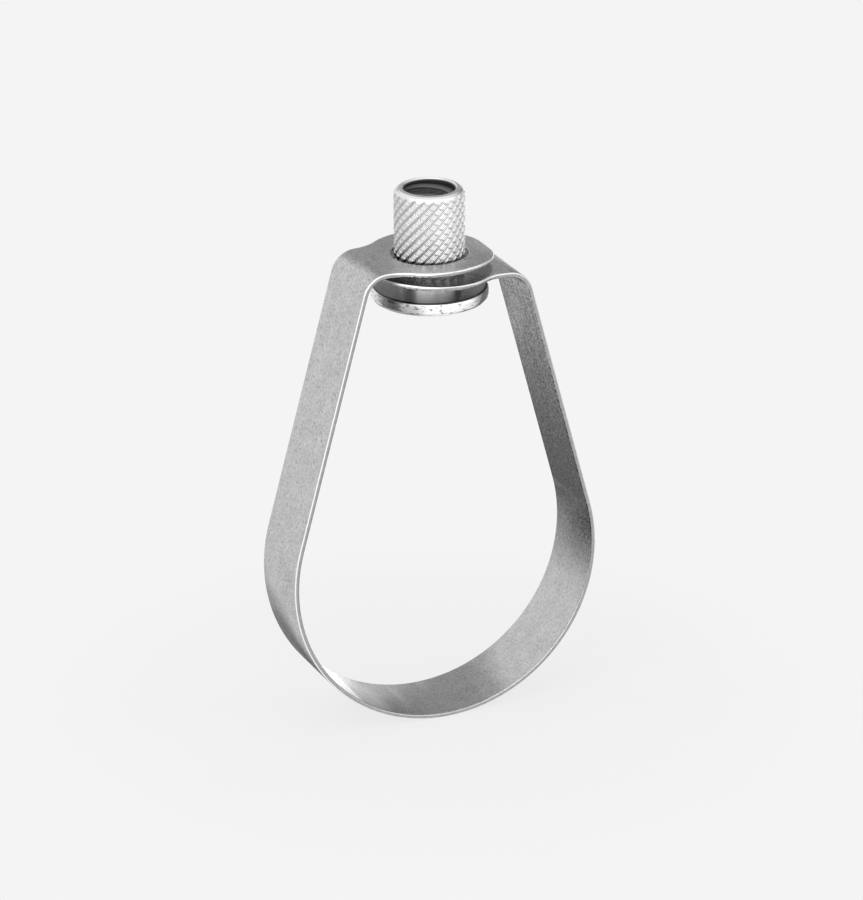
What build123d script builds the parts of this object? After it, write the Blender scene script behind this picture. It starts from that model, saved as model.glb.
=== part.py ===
# Swivel ring hanger for a 2 inch pipe, hung from a threaded rod.
# A knurled swivel nut turns in the two lapped tabs of a teardrop band bent from one strip of sheet.
# Millimetres. The origin is the centre of the pipe, +Y runs along the pipe and +Z up the rod.

from build123d import *
from math import acos, atan2, ceil, cos, degrees, hypot, pi, radians, sin, tan
import os

# The pipe, the rod and the sheet
pipe_diameter = 60.3
pipe_clearance = 0.45
rod_diameter = 9.53
thread_clearance = 0.055
sheet_thickness = 0.91
strap_width = 15.9

# Swivel nut
bore_chamfer = 0.4
neck_wall = 1.28
knurl_shoulder = 0.65
knurl_seat_clearance = 0.1
nut_projection = 12.9
nut_rim_radius = 1.5
flange_lip = 4.75
flange_thickness = 2.7
flange_top_rounding = 0.7
flange_bottom_rounding = 1.2
rounding_steps = 4

# Diamond knurl: straight-sided grooves that leave a flat crest on each diamond. The right-hand
# grooves are the deep ones, and the left-hand ones only notch the ridges between them.
knurl_starts = 22
knurl_pitch = 2.0
knurl_depth = 0.3
cross_depth = 0.19
knurl_crest = 0.5
crest_margin = 0.02

# Ears of the two tabs and the room round the nut
neck_clearance = 0.35
knurl_clearance = 0.7
ear_rim = 4.7
ear_tip_trim = 0.45
ear_fillet = 7.0
ear_overlap = 1.0

# Heights over the pipe, and the bends
headroom = 22.45
flange_play = 2.7
tab_gap = 2.09
lower_tab_rise = 3.1
upper_tab_rise = 1.0
tip_length = 9.2
tip_bend_radius = 55.0
shoulder_run = 3.67
upper_bend_radius = 5.0
lower_bend_radius = 5.0

# Nut radii, from the rod outwards
bore_radius = rod_diameter / 2 + thread_clearance
neck_radius = bore_radius + neck_wall
knurl_radius = neck_radius + knurl_shoulder
lower_hole_radius = neck_radius + neck_clearance
upper_hole_radius = knurl_radius + knurl_clearance
flange_radius = lower_hole_radius + flange_lip
ear_radius = upper_hole_radius + ear_rim

# Heights, from the pipe upwards; the tabs are measured on the nut's axis
pipe_radius = pipe_diameter / 2
lower_slope = tan(radians(lower_tab_rise))
upper_slope = tan(radians(upper_tab_rise))
flange_base = pipe_radius + headroom
flange_top = flange_base + flange_thickness
lower_tab_mid = flange_top + flange_play + sheet_thickness / 2
upper_tab_mid = lower_tab_mid + tab_gap + sheet_thickness
upper_tab_top = upper_tab_mid + sheet_thickness / 2
tab_split = (lower_tab_mid + upper_tab_mid) / 2
tab_reach = tab_gap + 2 * sheet_thickness
knurl_base = lower_tab_mid + sheet_thickness / 2 + knurl_radius * lower_slope + knurl_seat_clearance
nut_top = upper_tab_top + nut_projection

# Legs: each runs straight from the corner of a shoulder to a tangent of the ring
ring_radius = pipe_radius + pipe_clearance + sheet_thickness
mid_radius = ring_radius - sheet_thickness / 2
shoulder_half = ear_radius + shoulder_run
lean = atan2(upper_tab_top, shoulder_half) - acos(ring_radius / hypot(shoulder_half, upper_tab_top))


def shoulder_corner(side, tab_mid, slope):
    """Where the line of a tab, which falls away from its tip, meets the line of its leg."""
    reach = (mid_radius - tab_mid * sin(lean)) / (cos(lean) - slope * sin(lean))
    return side * reach, tab_mid - slope * reach


# Middle line of the strap in side view. Each half runs from a foot at the ring to the tip of its tab.
left_foot = (-mid_radius * cos(lean), mid_radius * sin(lean))
ring_bottom = (0, -mid_radius)
right_foot = (mid_radius * cos(lean), mid_radius * sin(lean))
upper_corner = shoulder_corner(-1, upper_tab_mid, upper_slope)
lower_corner = shoulder_corner(1, lower_tab_mid, lower_slope)
tip_start = (ear_radius - tip_length, upper_tab_mid + (ear_radius - tip_length) * upper_slope)
tip_turn = degrees((tip_length + sheet_thickness) / tip_bend_radius)
lower_tip = (-ear_radius, lower_tab_mid + ear_radius * lower_slope)
upper_bend = upper_bend_radius - sheet_thickness / 2
lower_bend = lower_bend_radius - sheet_thickness / 2

# Without the tips, which the ears round off
with BuildSketch(Plane.XZ) as strap_side:
    with BuildLine():
        FilletPolyline((0, upper_tab_mid), upper_corner, left_foot, radius=upper_bend)
        ThreePointArc(left_foot, ring_bottom, right_foot)
        FilletPolyline(right_foot, lower_corner, (0, lower_tab_mid), radius=lower_bend)
    trace(line_width=sheet_thickness)

# The tip of the upper tab is bent down a little
with BuildSketch(Plane.XZ) as upper_tab_side:
    with BuildLine():
        FilletPolyline(left_foot, upper_corner, tip_start, radius=upper_bend)
        JernArc(tip_start, (1, upper_slope), tip_bend_radius, -tip_turn)
    trace(line_width=sheet_thickness)

with BuildSketch(Plane.XZ) as lower_tab_side:
    with BuildLine():
        FilletPolyline(right_foot, lower_corner, lower_tip, radius=lower_bend)
    trace(line_width=sheet_thickness)

ear_blend_end = ((ear_radius + ear_fillet) ** 2 - (strap_width / 2 + ear_fillet) ** 2) ** 0.5


def ear_outline(side):
    """A round ear seen from above, blended into the strap that leaves it towards the given side."""
    with BuildSketch(Plane.XY.offset(tab_split)) as outline:
        Circle(ear_radius)
        with Locations((side * ear_tip_trim, 0)):
            Rectangle(2 * ear_radius, 2 * ear_radius, mode=Mode.INTERSECT)
        with Locations((side * ear_blend_end / 2, 0)):
            Rectangle(ear_blend_end + ear_overlap, strap_width)
        throat = outline.vertices().filter_by(
            lambda v: abs(hypot(v.X, v.Y) - ear_radius) < 0.01 and abs(v.Y) > ear_overlap
        )
        fillet(throat, ear_fillet)
    return outline.sketch


with BuildPart() as upper_ear:
    extrude(upper_tab_side.sketch, amount=ear_radius, dir=(0, 1, 0), both=True)
    extrude(ear_outline(-1), amount=tab_reach, mode=Mode.INTERSECT)

with BuildPart() as lower_ear:
    extrude(lower_tab_side.sketch, amount=ear_radius, dir=(0, 1, 0), both=True)
    extrude(ear_outline(1), amount=-tab_reach, mode=Mode.INTERSECT)

with BuildPart() as band:
    extrude(strap_side.sketch, amount=strap_width / 2, dir=(0, 1, 0), both=True)
    add(upper_ear.part)
    add(lower_ear.part)
    with BuildSketch(Plane.XY.offset(tab_split)):
        Circle(upper_hole_radius)
    extrude(amount=tab_reach, mode=Mode.SUBTRACT)
    with BuildSketch(Plane.XY.offset(tab_split)):
        Circle(lower_hole_radius)
    extrude(amount=-tab_reach, mode=Mode.SUBTRACT)
band.part.label = "band"

# Knurl form: a sleeve of flat facets. Columns and rows are half a diamond apart. Grooves cross where
# column + row is even, and a diamond has its middle where the sum is odd. Every diamond is the same:
# a crest, a wall to the right-hand groove on each side, and a slope to the notch at each end.
knurl_column = pi / knurl_starts
knurl_row = knurl_pitch / 2
knurl_rows = ceil((nut_top - knurl_base) / knurl_row) + 1
root_radius = knurl_radius - knurl_depth
crest_flat = knurl_radius * cos(knurl_crest * knurl_column / 2)
crest_length = 1 - (1 - knurl_crest) * cross_depth / knurl_depth


def knurl_point(radius, column, row):
    """A point at a column and row of the knurl's lattice, from the middle of a diamond at 0, 0."""
    turn = column * knurl_column
    return Vector(radius * cos(turn), radius * sin(turn), row * knurl_row)


def crest_point(column, row):
    """A point of the flat crest of the diamond at 0, 0."""
    return knurl_point(crest_flat / cos(column * knurl_column), column, row)


def plane_through(a, b, c):
    """The plane through three points, as its normal and its offset from the origin."""
    normal = (b - a).cross(c - a)
    return normal, normal.dot(a)


def meeting(first, second, third):
    """The point where three planes meet."""
    (a, at_a), (b, at_b), (c, at_c) = first, second, third
    return (b.cross(c) * at_a + c.cross(a) * at_b + a.cross(b) * at_c) * (1 / a.dot(b.cross(c)))


def crossing(side, end):
    """Column and row of the groove crossing at one side and end of the diamond at 0, 0."""
    return (end + side) / 2, (end - side) / 2


def groove_root(side, end):
    """The bottom of the grooves at a crossing."""
    return knurl_point(root_radius, *crossing(side, end))


def groove_wall(side):
    """The plane from the right-hand groove on one side up to the crest."""
    half = side * knurl_crest / 2
    return plane_through(groove_root(side, -1), groove_root(side, 1), crest_point(half, -half))


def notch(side, end):
    """Where this wall and the one beyond the left-hand groove meet, at the bottom of the notch."""
    wall = groove_wall(side)[0]
    beyond = wall.rotate(Axis.Z, degrees(end * knurl_column))
    ridge = wall.cross(beyond)
    column, _ = crossing(side, end)
    rise_needed = (knurl_depth - cross_depth) / ridge.dot(knurl_point(1, column, 0))
    return groove_root(side, end) + ridge * rise_needed


def notch_slope(end):
    """The plane from the notch at one end up to the crest."""
    half = end * crest_length / 2
    return plane_through(notch(1, end), notch(-1, end), crest_point(half, half))


def crest_corner(side, end):
    """Where the crest, a wall and a slope meet."""
    crest = (Vector(1, 0, 0), crest_flat)
    return meeting(crest, groove_wall(side), notch_slope(end))


def diamond_facets():
    """The five facets of the diamond at 0, 0."""
    facets = [[crest_corner(1, 1), crest_corner(-1, 1), crest_corner(-1, -1), crest_corner(1, -1)]]
    for side in (-1, 1):
        facets.append([
            groove_root(side, -1), groove_root(side, 1), notch(side, 1),
            crest_corner(side, 1), crest_corner(side, -1), notch(side, -1),
        ])
    for end in (-1, 1):
        facets.append([notch(1, end), notch(-1, end), crest_corner(-1, end), crest_corner(1, end)])
    return facets


def end_facets(end):
    """The lower or upper half outline of the diamond at 0, 0, closed with facets to the nut's axis."""
    outline = [groove_root(-end, -end), groove_root(-end, end), notch(-end, end),
               notch(end, end), groove_root(end, end)]
    axis_point = Vector(0, 0, end * knurl_pitch)
    return [[near, far, axis_point] for near, far in zip(outline, outline[1:])]


def knurl_skin():
    """Every facet of the sleeve, which runs past both ends of the knurled body."""
    skin = []
    for row in range(knurl_rows + 1):
        facets = diamond_facets()
        if row == 0:
            facets += end_facets(-1)
        if row == knurl_rows:
            facets += end_facets(1)
        height = Vector(0, 0, knurl_base + (row - 0.5) * knurl_row)
        for column in range((row + 1) % 2, 2 * knurl_starts, 2):
            turn = degrees(column * knurl_column)
            for facet in facets:
                points = [point.rotate(Axis.Z, turn) + height for point in facet]
                skin.append(Face(Wire.make_polygon(points)))
    return skin


def rounding(corner, radius, start):
    """A rounded corner of the nut's profile in short straight steps, anticlockwise from an angle."""
    steps = [radians(start + 90 * step / rounding_steps) for step in range(rounding_steps + 1)]
    inwards = 1 if start < 0 else -1
    centre = (corner[0] - radius, corner[1] + inwards * radius)
    return [(centre[0] + radius * cos(turn), centre[1] + radius * sin(turn)) for turn in steps]


# The knurl is cut from a blank that clears the outermost corners of its crests
blank_radius = hypot(crest_corner(1, 1).X, crest_corner(1, 1).Y) + crest_margin

with BuildPart() as knurled_body:
    with BuildSketch(Plane.XZ):
        with BuildLine():
            Polyline(
                (bore_radius, knurl_base),
                (blank_radius, knurl_base),
                *rounding((blank_radius, nut_top), nut_rim_radius, 0),
                (bore_radius + bore_chamfer, nut_top),
                (bore_radius, nut_top - bore_chamfer),
                close=True,
            )
        make_face()
    revolve(axis=Axis.Z)
    add(Solid(Shell(knurl_skin())), mode=Mode.INTERSECT)

with BuildPart() as swivel_nut:
    with BuildSketch(Plane.XZ):
        with BuildLine():
            Polyline(
                (bore_radius, knurl_base + knurl_row),
                (bore_radius, flange_base + bore_chamfer),
                (bore_radius + bore_chamfer, flange_base),
                *rounding((flange_radius, flange_base), flange_bottom_rounding, -90),
                *rounding((flange_radius, flange_top), flange_top_rounding, 0),
                (neck_radius, flange_top),
                (neck_radius, knurl_base + knurl_row),
                close=True,
            )
        make_face()
    revolve(axis=Axis.Z)
    add(knurled_body.part)
swivel_nut.part.label = "swivel_nut"

os.makedirs("parts", exist_ok=True)
export_step(band.part, "parts/band.step")
export_step(swivel_nut.part, "parts/swivel_nut.step")
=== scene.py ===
import math
import bmesh
import bpy
from mathutils import Matrix, Vector


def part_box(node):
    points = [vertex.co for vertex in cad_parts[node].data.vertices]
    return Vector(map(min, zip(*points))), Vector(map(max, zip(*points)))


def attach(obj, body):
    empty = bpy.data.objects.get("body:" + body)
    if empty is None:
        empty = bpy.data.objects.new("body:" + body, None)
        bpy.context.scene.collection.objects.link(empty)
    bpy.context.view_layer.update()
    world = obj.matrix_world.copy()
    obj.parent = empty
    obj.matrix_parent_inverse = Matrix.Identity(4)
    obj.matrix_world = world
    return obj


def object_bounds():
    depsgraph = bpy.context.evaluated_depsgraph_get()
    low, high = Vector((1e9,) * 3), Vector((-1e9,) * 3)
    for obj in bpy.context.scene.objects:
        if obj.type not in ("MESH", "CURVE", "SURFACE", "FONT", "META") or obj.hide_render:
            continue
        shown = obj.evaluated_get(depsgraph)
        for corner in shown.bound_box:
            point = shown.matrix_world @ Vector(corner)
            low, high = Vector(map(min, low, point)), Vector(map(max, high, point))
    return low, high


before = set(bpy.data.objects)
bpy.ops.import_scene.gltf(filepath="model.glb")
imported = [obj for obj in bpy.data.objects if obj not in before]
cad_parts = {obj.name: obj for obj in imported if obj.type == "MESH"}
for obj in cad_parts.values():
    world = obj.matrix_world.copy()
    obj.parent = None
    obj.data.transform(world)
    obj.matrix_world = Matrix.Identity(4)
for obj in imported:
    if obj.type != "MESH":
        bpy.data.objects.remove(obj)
cad_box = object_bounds()

MM = 0.001

# Places on the band, in millimetres. The origin is the centre of the pipe, +Z up the rod.
tabs_base, tabs_half_length = 57.0, 12.5
lapped_base, lapped_top = 57.6, 60.2
ear_radius, hole_wall_radius = 12.15, 7.8
upper_hole_base, upper_hole_top = 61.3, 61.8
sheared_edge_radius, weld_distance = 0.32, 0.002

# Heights on the inner face, between which its grain coarsens and its shade comes and goes
coarse_start, coarse_full = 5.0, 30.0
shade_start, shade_full, shade_fading, shade_end = -14.0, 4.5, 8.0, 90.0
# Height of the painted highlight on the right leg's inner face
glint_height = 47.0

# Places on the nut
neck_radius = 6.1
flange_base, flange_top, flange_radius = 52.6, 55.3, 11.2
nut_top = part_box("swivel_nut")[1][2] / MM
knurl_length = 15.434
knurl_base = nut_top - knurl_length
knurl_radius, knurl_starts, knurl_pitch = 6.75, 22, 2.0
strokes_per_row = 2.5
bore_radius, bore_chamfer = 4.82, 0.4

# 3/8-16 thread
thread_pitch = 25.4 / 16
thread_crest_radius = 4.0
thread_crest_half, thread_root_half = 0.2, 0.69
thread_sink = 0.03
thread_steps = 48

# The photograph's view
camera_yaw, camera_pitch, camera_roll = -0.415753, 0.385562, -0.002148
camera_distance, camera_right, camera_up = 1097.5, 0.2545, 19.80
camera_lens, camera_sensor = 227.53, 36

# The surround and its lamps. The floor's fade is in shares of its radius.
background_grey = 0.905
diffuse_grey = 0.75
floor_grey = 0.95
floor_radius, floor_gap = 90.0, 0.02
floor_fade_start, floor_fade_end = 0.55, 0.98
lamp_distance, lamp_aim_height = 500.0, 20.0


class Wire:
    """A shader socket that takes part in Python sums. Each operator adds its Math node."""

    def __init__(self, finish, socket):
        self.finish = finish
        self.socket = socket

    def math(self, operation, *others):
        return self.finish.node("Math", dict(enumerate([self, *others])), operation=operation)

    def __add__(self, other):
        return self.math("ADD", other)

    __radd__ = __add__

    def __sub__(self, other):
        return self.math("SUBTRACT", other)

    def __rsub__(self, other):
        return self.finish.node("Math", {0: other, 1: self}, operation="SUBTRACT")

    def __mul__(self, other):
        return self.math("MULTIPLY", other)

    def __abs__(self):
        return self.math("ABSOLUTE")

    def sine(self):
        return self.math("SINE")

    def most(self, other):
        return self.math("MAXIMUM", other)

    def rise(self, start, end):
        """0 before start and 1 after end, smooth between them; start may be the higher number."""
        inputs = {"Value": self, "From Min": start, "From Max": end}
        return self.finish.node("MapRange", inputs, interpolation_type="SMOOTHSTEP")

    def darker(self, mask, share):
        """Loses the given share of itself where the mask is 1."""
        return self * (1 - mask * share)


def blend(first, second, share):
    """The first value where share is 0 and the second where it is 1."""
    return first + (second - first) * share


def off_axis(x, y):
    """The distance from the Z axis."""
    return (x * x + y * y).math("SQRT")


class Finish:
    """A shader tree, and the nodes added to it."""

    def __init__(self, owner):
        owner.use_nodes = True
        self.tree = owner.node_tree
        self.tree.nodes.clear()

    def node(self, kind, inputs=None, output=0, **settings):
        """Adds one node: its settings first, then the values or links of its sockets."""
        made = self.tree.nodes.new("ShaderNode" + kind)
        for name, value in settings.items():
            setattr(made, name, value)
        for socket, value in (inputs or {}).items():
            if isinstance(value, Wire):
                self.tree.links.new(value.socket, made.inputs[socket])
            else:
                made.inputs[socket].default_value = value
        return Wire(self, made.outputs[output]) if made.outputs else made

    def split(self, vector):
        return [self.node("SeparateXYZ", {0: vector}, output=axis) for axis in "XYZ"]

    def noise(self, x, y, z, scale, detail):
        """Noise from 0 to 1 over a place given in millimetres; scale is in waves per millimetre."""
        place = self.node("CombineXYZ", {"X": x, "Y": y, "Z": z})
        return self.node("TexNoise", {"Vector": place, "Scale": scale, "Detail": detail})

    def mottle(self, x, y, z, scale, detail):
        """The same noise from -0.5 to 0.5, which lightens and darkens a tone alike."""
        return self.noise(x, y, z, scale, detail) - 0.5

    def place(self):
        """The place on the hanger in millimetres, in the object's own frame."""
        coordinates = self.node("TexCoord", output="Object")
        return [axis * (1 / MM) for axis in self.split(coordinates)]

    def facing(self):
        return self.split(self.node("TexCoord", output="Normal"))

    def metal(self, base, roughness, height, depth):
        """Bare metal; height from 0 to 1 stands for the given depth of relief in millimetres."""
        relief = self.node("Bump", {"Height": height, "Distance": depth * MM, "Strength": 1.0})
        inputs = {"Base Color": base, "Roughness": roughness, "Metallic": 1.0, "Normal": relief}
        surface = self.node("BsdfPrincipled", inputs)
        self.node("OutputMaterial", {"Surface": surface})


def galvanised_strip():
    """Galvanised sheet. The outer face is grainy, and the inner one has streaks drawn along the strip,
    painted shade and a painted highlight on the right leg. The sheared edges are grey, and their outer
    corners carry a painted highlight. The lower ear under the upper one and the walls of the holes have
    painted shade."""
    material = bpy.data.materials.new("galvanised_strip")
    finish = Finish(material)
    x, y, z = finish.place()
    face_x, face_y, face_z = finish.facing()
    from_nut = off_axis(x, y)

    # Stretches of the strip. The outward side is the one that faces away from the pipe.
    outward = face_x * x + face_z * z
    inside = outward.rise(2.0, -2.0)
    tabs = z.rise(tabs_base, tabs_base + 0.5)
    tabs = tabs * abs(x).rise(tabs_half_length + 0.5, tabs_half_length)
    lapped = z.rise(lapped_top + 0.4, lapped_top) * z.rise(lapped_base - 0.4, lapped_base)
    lapped = lapped * from_nut.rise(ear_radius, ear_radius - 0.5)
    coarse = z.rise(coarse_start, coarse_full)
    shaded = z.rise(shade_start, shade_full) * z.rise(shade_end, shade_fading)
    # A painted highlight across the right leg's inner face
    painted_glint = x.rise(0.0, 5.0) * abs(z - glint_height + y * 0.8).rise(6.0, 0.0) * y.rise(-3.0, 3.0)

    # The sheared edges, their corners and the walls of the holes
    across = abs(face_y).most(tabs * (1 - abs(face_z)))
    edge = across.rise(0.75, 0.97)
    corner = across.rise(0.15, 0.45) * across.rise(0.99, 0.85)
    corner_highlight = corner * outward.rise(-2.0, 2.0)
    # Painted shade on the walls of the holes near the nut
    hole_wall = edge * from_nut.rise(hole_wall_radius + 0.4, hole_wall_radius) * tabs

    grain = finish.mottle(x, y, z, 2.2, 4.0)
    speck = finish.noise(x, y, z, 1.1, 2.0).rise(0.36, 0.26)
    cloud = finish.mottle(x, y, z, 0.35, 3.0)
    drawn = finish.mottle(x * 0.2, y * 2.4, z * 0.2, 1.0, 3.0)
    torn = finish.mottle(x * 0.6, y, z * 0.6, 2.0, 3.0)

    outer = 0.64 + grain * 0.8 + cloud * 0.24 - speck * 0.16
    inner = 0.62 + grain * (0.6 + coarse * 1.6) + drawn * (0.08 + coarse * 1.2) + cloud * 0.2
    # The inner face gets painted shade, strongest low down, and a painted highlight on the right leg
    inner = inner.darker(shaded, 0.85) + grain * shaded * 0.5 + painted_glint * 0.12
    # Painted shade on the lower ear, where the upper ear lies over it
    faces = blend(outer, inner, inside).darker(lapped, 0.55)
    sheared = 0.38 + torn * 0.25
    base = blend(faces, sheared, edge)
    # A painted highlight on the outer corners
    base = blend(base, 1.0, corner_highlight).darker(hole_wall, 0.75)
    roughness = 0.30 + grain * 0.12 - corner * 0.04 - lapped * 0.08 - inside * 0.05 + tabs * 0.06
    finish.metal(base, roughness, 0.5 + grain * 0.6 + drawn * inside * 0.6, 0.03)
    return material


def zinc_nut():
    """Bright zinc over turned metal. Fine strokes cross the knurl, and painted shade darkens its grooves,
    most at its foot. The flange has painted shade on its top, around the neck's foot and at both ends,
    and a scuffed rim. The neck, the bore and the stretch inside the upper tab's hole have painted shade."""
    material = bpy.data.materials.new("zinc_plated_nut")
    finish = Finish(material)
    x, y, z = finish.place()
    radius = off_axis(x, y)
    turn = y.math("ARCTAN2", x)

    # Stretches of the nut
    knurled = z.rise(knurl_base - 0.05, knurl_base) * z.rise(nut_top - 0.6, nut_top - 1.1)
    knurled = knurled * radius.rise(knurl_radius - 0.6, knurl_radius - 0.45)
    groove = radius.rise(knurl_radius - 0.04, knurl_radius - 0.2) * knurled
    flange = z.rise(flange_top + 0.05, flange_top - 0.05)
    flange_face = flange * z.rise(flange_top - 0.15, flange_top - 0.02)
    neck_foot = radius.rise(neck_radius + 0.55, neck_radius + 0.15) * flange_face
    rim = flange * (1 - flange_face) * radius.rise(flange_radius - 0.5, flange_radius - 0.1)
    # Painted shade at each end of the flange covers it beyond a distance from the axis in one direction
    left_end_shade = (x * 0.8 + y * 0.6).rise(-9.8, -11.0)
    right_end_shade = (x * 0.81 - y * 0.59).rise(9.6, 10.8)
    flange_end_shade = left_end_shade.most(right_end_shade) * flange
    neck = z.rise(knurl_base, knurl_base - 0.5) * z.rise(flange_top, flange_top + 0.1)
    in_hole = z.rise(upper_hole_top + 0.35, upper_hole_top)
    in_hole = in_hole * z.rise(upper_hole_base - 0.3, upper_hole_base)
    bore = radius.rise(bore_radius + 0.3, bore_radius + 0.1)

    column = turn * (knurl_starts / math.pi)
    row = (z - knurl_base) * (2 / knurl_pitch) + 0.5
    strokes = ((column + row) * (2 * math.pi * strokes_per_row)).sine() * 0.5 + 0.5
    grain = finish.mottle(x, y, z, 3.0, 3.0)
    cloud = finish.mottle(x, y, z, 0.4, 2.0)
    lathe = finish.mottle(radius * 4.0, z * 4.0, 0.0, 1.0, 2.0)
    scuffs = finish.noise(turn * 12.0, z * 2.2, 0.0, 1.0, 4.0).rise(0.58, 0.62)

    # Painted shade in the knurl's grooves, darker towards its foot
    groove_shade = 0.16 + z.rise(nut_top - 6.5, knurl_base + 2.5) * 0.22
    bore_shade = 0.9 - z.rise(nut_top - 0.8, nut_top - 4.0) * 0.6
    base = 1.0 + grain * 0.14 + cloud * 0.12 - groove * groove_shade - strokes * knurled * 0.36
    # Painted shade on the flange's top, around the neck's foot and at the flange's two ends
    base = base - flange_face * 0.88 - neck_foot * 0.15 - flange_end_shade * 0.5
    base = base.darker(rim * scuffs, 0.6).darker(neck, 0.3).darker(in_hole, 0.75)
    base = base.darker(bore, bore_shade)
    roughness = 0.26 + grain * 0.08 + groove * 0.15 + bore * 0.14 + flange_face * 0.1
    height = strokes * knurled + (lathe * 0.3 + 0.3) * (1 - knurled)
    finish.metal(base, roughness, height, 0.03)
    return material


def thread_section(step, low, turns):
    """The corners of the ridge at one step of the helix. It grows to full height over half a turn at
    each end, and its foot stays just inside the wall."""
    done = step / thread_steps
    angle = 2 * math.pi * done
    middle = low + thread_pitch * done
    height = min(1.0, done * 2, (turns - done) * 2)
    crest = bore_radius - (bore_radius - thread_crest_radius) * height
    foot = bore_radius + thread_sink
    profile = [
        (foot, -thread_root_half), (crest, -thread_crest_half), (crest, thread_crest_half),
        (foot, thread_root_half),
    ]
    return [(r * math.cos(angle) * MM, r * math.sin(angle) * MM, (middle + up) * MM) for r, up in profile]


def rod_thread(material):
    """The ridge of the thread as one right-hand helix, which sinks into the wall at both ends."""
    low = flange_base + bore_chamfer + thread_root_half
    high = nut_top - bore_chamfer - thread_root_half
    turns = (high - low) / thread_pitch
    mesh = bmesh.new()
    rings = [
        [mesh.verts.new(corner) for corner in thread_section(step, low, turns)]
        for step in range(int(turns * thread_steps) + 1)
    ]
    for near, far in zip(rings, rings[1:]):
        for side in range(len(near)):
            after = (side + 1) % len(near)
            mesh.faces.new([near[side], near[after], far[after], far[side]])
    for end in (rings[0], rings[-1]):
        mesh.faces.new(end)
    bmesh.ops.recalc_face_normals(mesh, faces=mesh.faces)
    data = bpy.data.meshes.new("rod_thread")
    mesh.to_mesh(data)
    mesh.free()
    data.materials.append(material)
    thread = bpy.data.objects.new("rod_thread", data)
    bpy.context.collection.objects.link(thread)
    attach(thread, "nut")


def dress(node, material):
    """Gives a CAD node its finish."""
    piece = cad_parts[node]
    piece.data.materials.clear()
    piece.data.materials.append(material)
    return piece


def round_sheared_edges(piece):
    """Rounds the sharp edges of the sheet, so that they catch the light. With loop slide on, thin faces
    would fold over each other where the upper tab's tip bends across its hole."""
    weld = piece.modifiers.new("weld", "WELD")
    weld.merge_threshold = weld_distance * MM
    bevel = piece.modifiers.new("edges", "BEVEL")
    bevel.width = sheared_edge_radius * MM
    bevel.segments = 3
    bevel.limit_method = "ANGLE"
    bevel.angle_limit = math.radians(50)
    bevel.use_clamp_overlap = False
    bevel.loop_slide = False
    bevel.harden_normals = True


def seen_directly(finish):
    """Two masks: 1 where the camera sees the surround, straight or through glass, and 1 where a
    mirroring surface sees it."""
    camera = finish.node("LightPath", output="Is Camera Ray")
    through = finish.node("LightPath", output="Is Transmission Ray")
    return camera.most(through), finish.node("LightPath", output="Is Glossy Ray")


def studio():
    """A pale surround. Metal sees a room in it instead, brighter in front and darker at the far right.
    At the back are a grey wall up on the right, a dark bench below it, a cupboard low on the left and a
    bright window low on the right."""
    world = bpy.data.worlds.new("studio")
    bpy.context.scene.world = world
    finish = Finish(world)

    # Directions from -1 to 1: across to the right, along to the back, up to the top
    across, along, up = finish.split(finish.node("TexCoord", output="Generated"))
    front = along.rise(0.3, -0.6)
    side = across.rise(0.3, 0.95)
    back = along.rise(0.5, 0.8)
    wall = across.rise(-0.18, 0.02) * up.rise(-0.05, 0.30) * along.rise(0.2, 0.6)
    bench = up.rise(-0.42, -0.52) * across.rise(-0.26, -0.04) * along.rise(0.55, 0.8)
    window = across.rise(0.33, 0.45) * up.rise(-0.13, -0.22) * back
    cupboard = across.rise(-0.28, -0.40) * up.rise(-0.13, -0.28) * back

    in_metal = 0.80 + front * 0.22 - wall * 0.44 - bench * 0.76 - cupboard * 0.13 - side * 0.25
    in_metal = in_metal + window * 1.4
    directly, mirrored = seen_directly(finish)
    level = blend(diffuse_grey, in_metal, mirrored)
    level = blend(level, background_grey, directly)
    background = finish.node("Background", {"Color": level, "Strength": 1.0})
    finish.node("OutputWorld", {"Surface": background})


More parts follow.
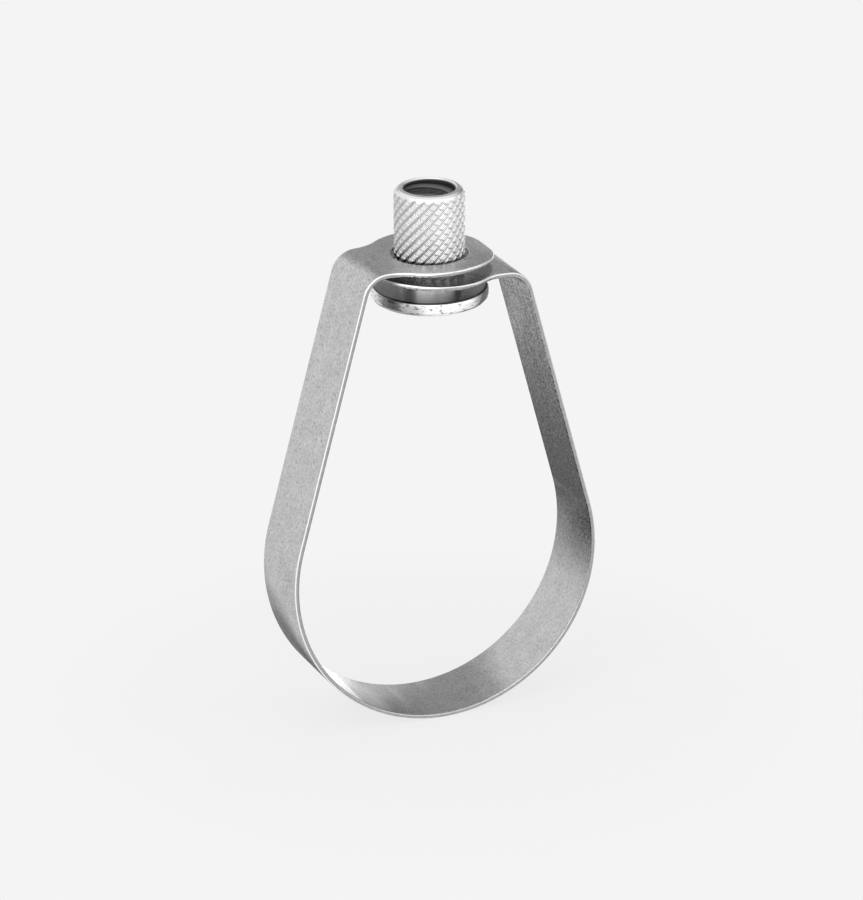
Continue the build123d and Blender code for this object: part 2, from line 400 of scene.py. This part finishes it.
def floor():
    """A small pale floor under the ring, as pale as the surround and darker in the ring's shadow."""
    material = bpy.data.materials.new("pale_floor")
    finish = Finish(material)
    directly, mirrored = seen_directly(finish)
    x, y, _ = finish.place()
    faded = off_axis(x, y).rise(floor_radius * floor_fade_start, floor_radius * floor_fade_end)
    paper = finish.node("BsdfDiffuse", {"Color": (floor_grey,) * 3 + (1.0,)})
    pale = finish.node("Emission", {"Color": (background_grey,) * 3 + (1.0,), "Strength": 1.0})
    lit = finish.node("MixShader", {0: directly.most(mirrored) * 0.8, 1: paper, 2: pale})
    clear = finish.node("BsdfTransparent")
    surface = finish.node("MixShader", {0: faded, 1: lit, 2: clear})
    finish.node("OutputMaterial", {"Surface": surface})
    bpy.ops.mesh.primitive_circle_add(
        vertices=96, radius=floor_radius * MM, fill_type="NGON",
        location=(0, 0, cad_box[0][2] - floor_gap * MM),
    )
    ground = bpy.context.active_object
    ground.name = "floor"
    ground.data.materials.append(material)
    ground.visible_glossy = False


def lamp(name, toward, size, power):
    """A square soft lamp in the given direction, aimed at the hanger."""
    data = bpy.data.lights.new(name, "AREA")
    data.size = size * MM
    data.energy = power
    lamp_object = bpy.data.objects.new(name, data)
    bpy.context.collection.objects.link(lamp_object)
    aim = Vector(toward).normalized()
    lamp_object.location = (aim * lamp_distance + Vector((0, 0, lamp_aim_height))) * MM
    lamp_object.rotation_euler = aim.to_track_quat("Z", "Y").to_euler()


def photograph_camera():
    """The camera, from its angles and the place where it looks past the pipe's centre."""
    flat = math.cos(camera_pitch)
    back = Vector((math.sin(camera_yaw) * flat, -math.cos(camera_yaw) * flat, math.sin(camera_pitch)))
    level = Vector((math.cos(camera_yaw), math.sin(camera_yaw), 0))
    right = math.cos(camera_roll) * level + math.sin(camera_roll) * back.cross(level)
    up = back.cross(right)
    data = bpy.data.cameras.new("camera")
    data.lens = camera_lens
    data.sensor_width = camera_sensor
    data.clip_start, data.clip_end = 0.05, 20
    camera = bpy.data.objects.new("camera", data)
    bpy.context.collection.objects.link(camera)
    turn = Matrix((right, up, back)).transposed().to_4x4()
    place = (back * camera_distance + right * camera_right + up * camera_up) * MM
    camera.matrix_world = Matrix.Translation(place) @ turn
    bpy.context.scene.camera = camera


zinc = zinc_nut()
round_sheared_edges(dress("band", galvanised_strip()))
dress("swivel_nut", zinc)
rod_thread(zinc)

studio()
floor()
lamp("key", (-0.55, -0.55, 0.62), 700.0, 0.7)
lamp("fill", (0.6, -0.7, 0.25), 500.0, 0.3)
photograph_camera()
bpy.context.scene.view_settings.view_transform = "Standard"
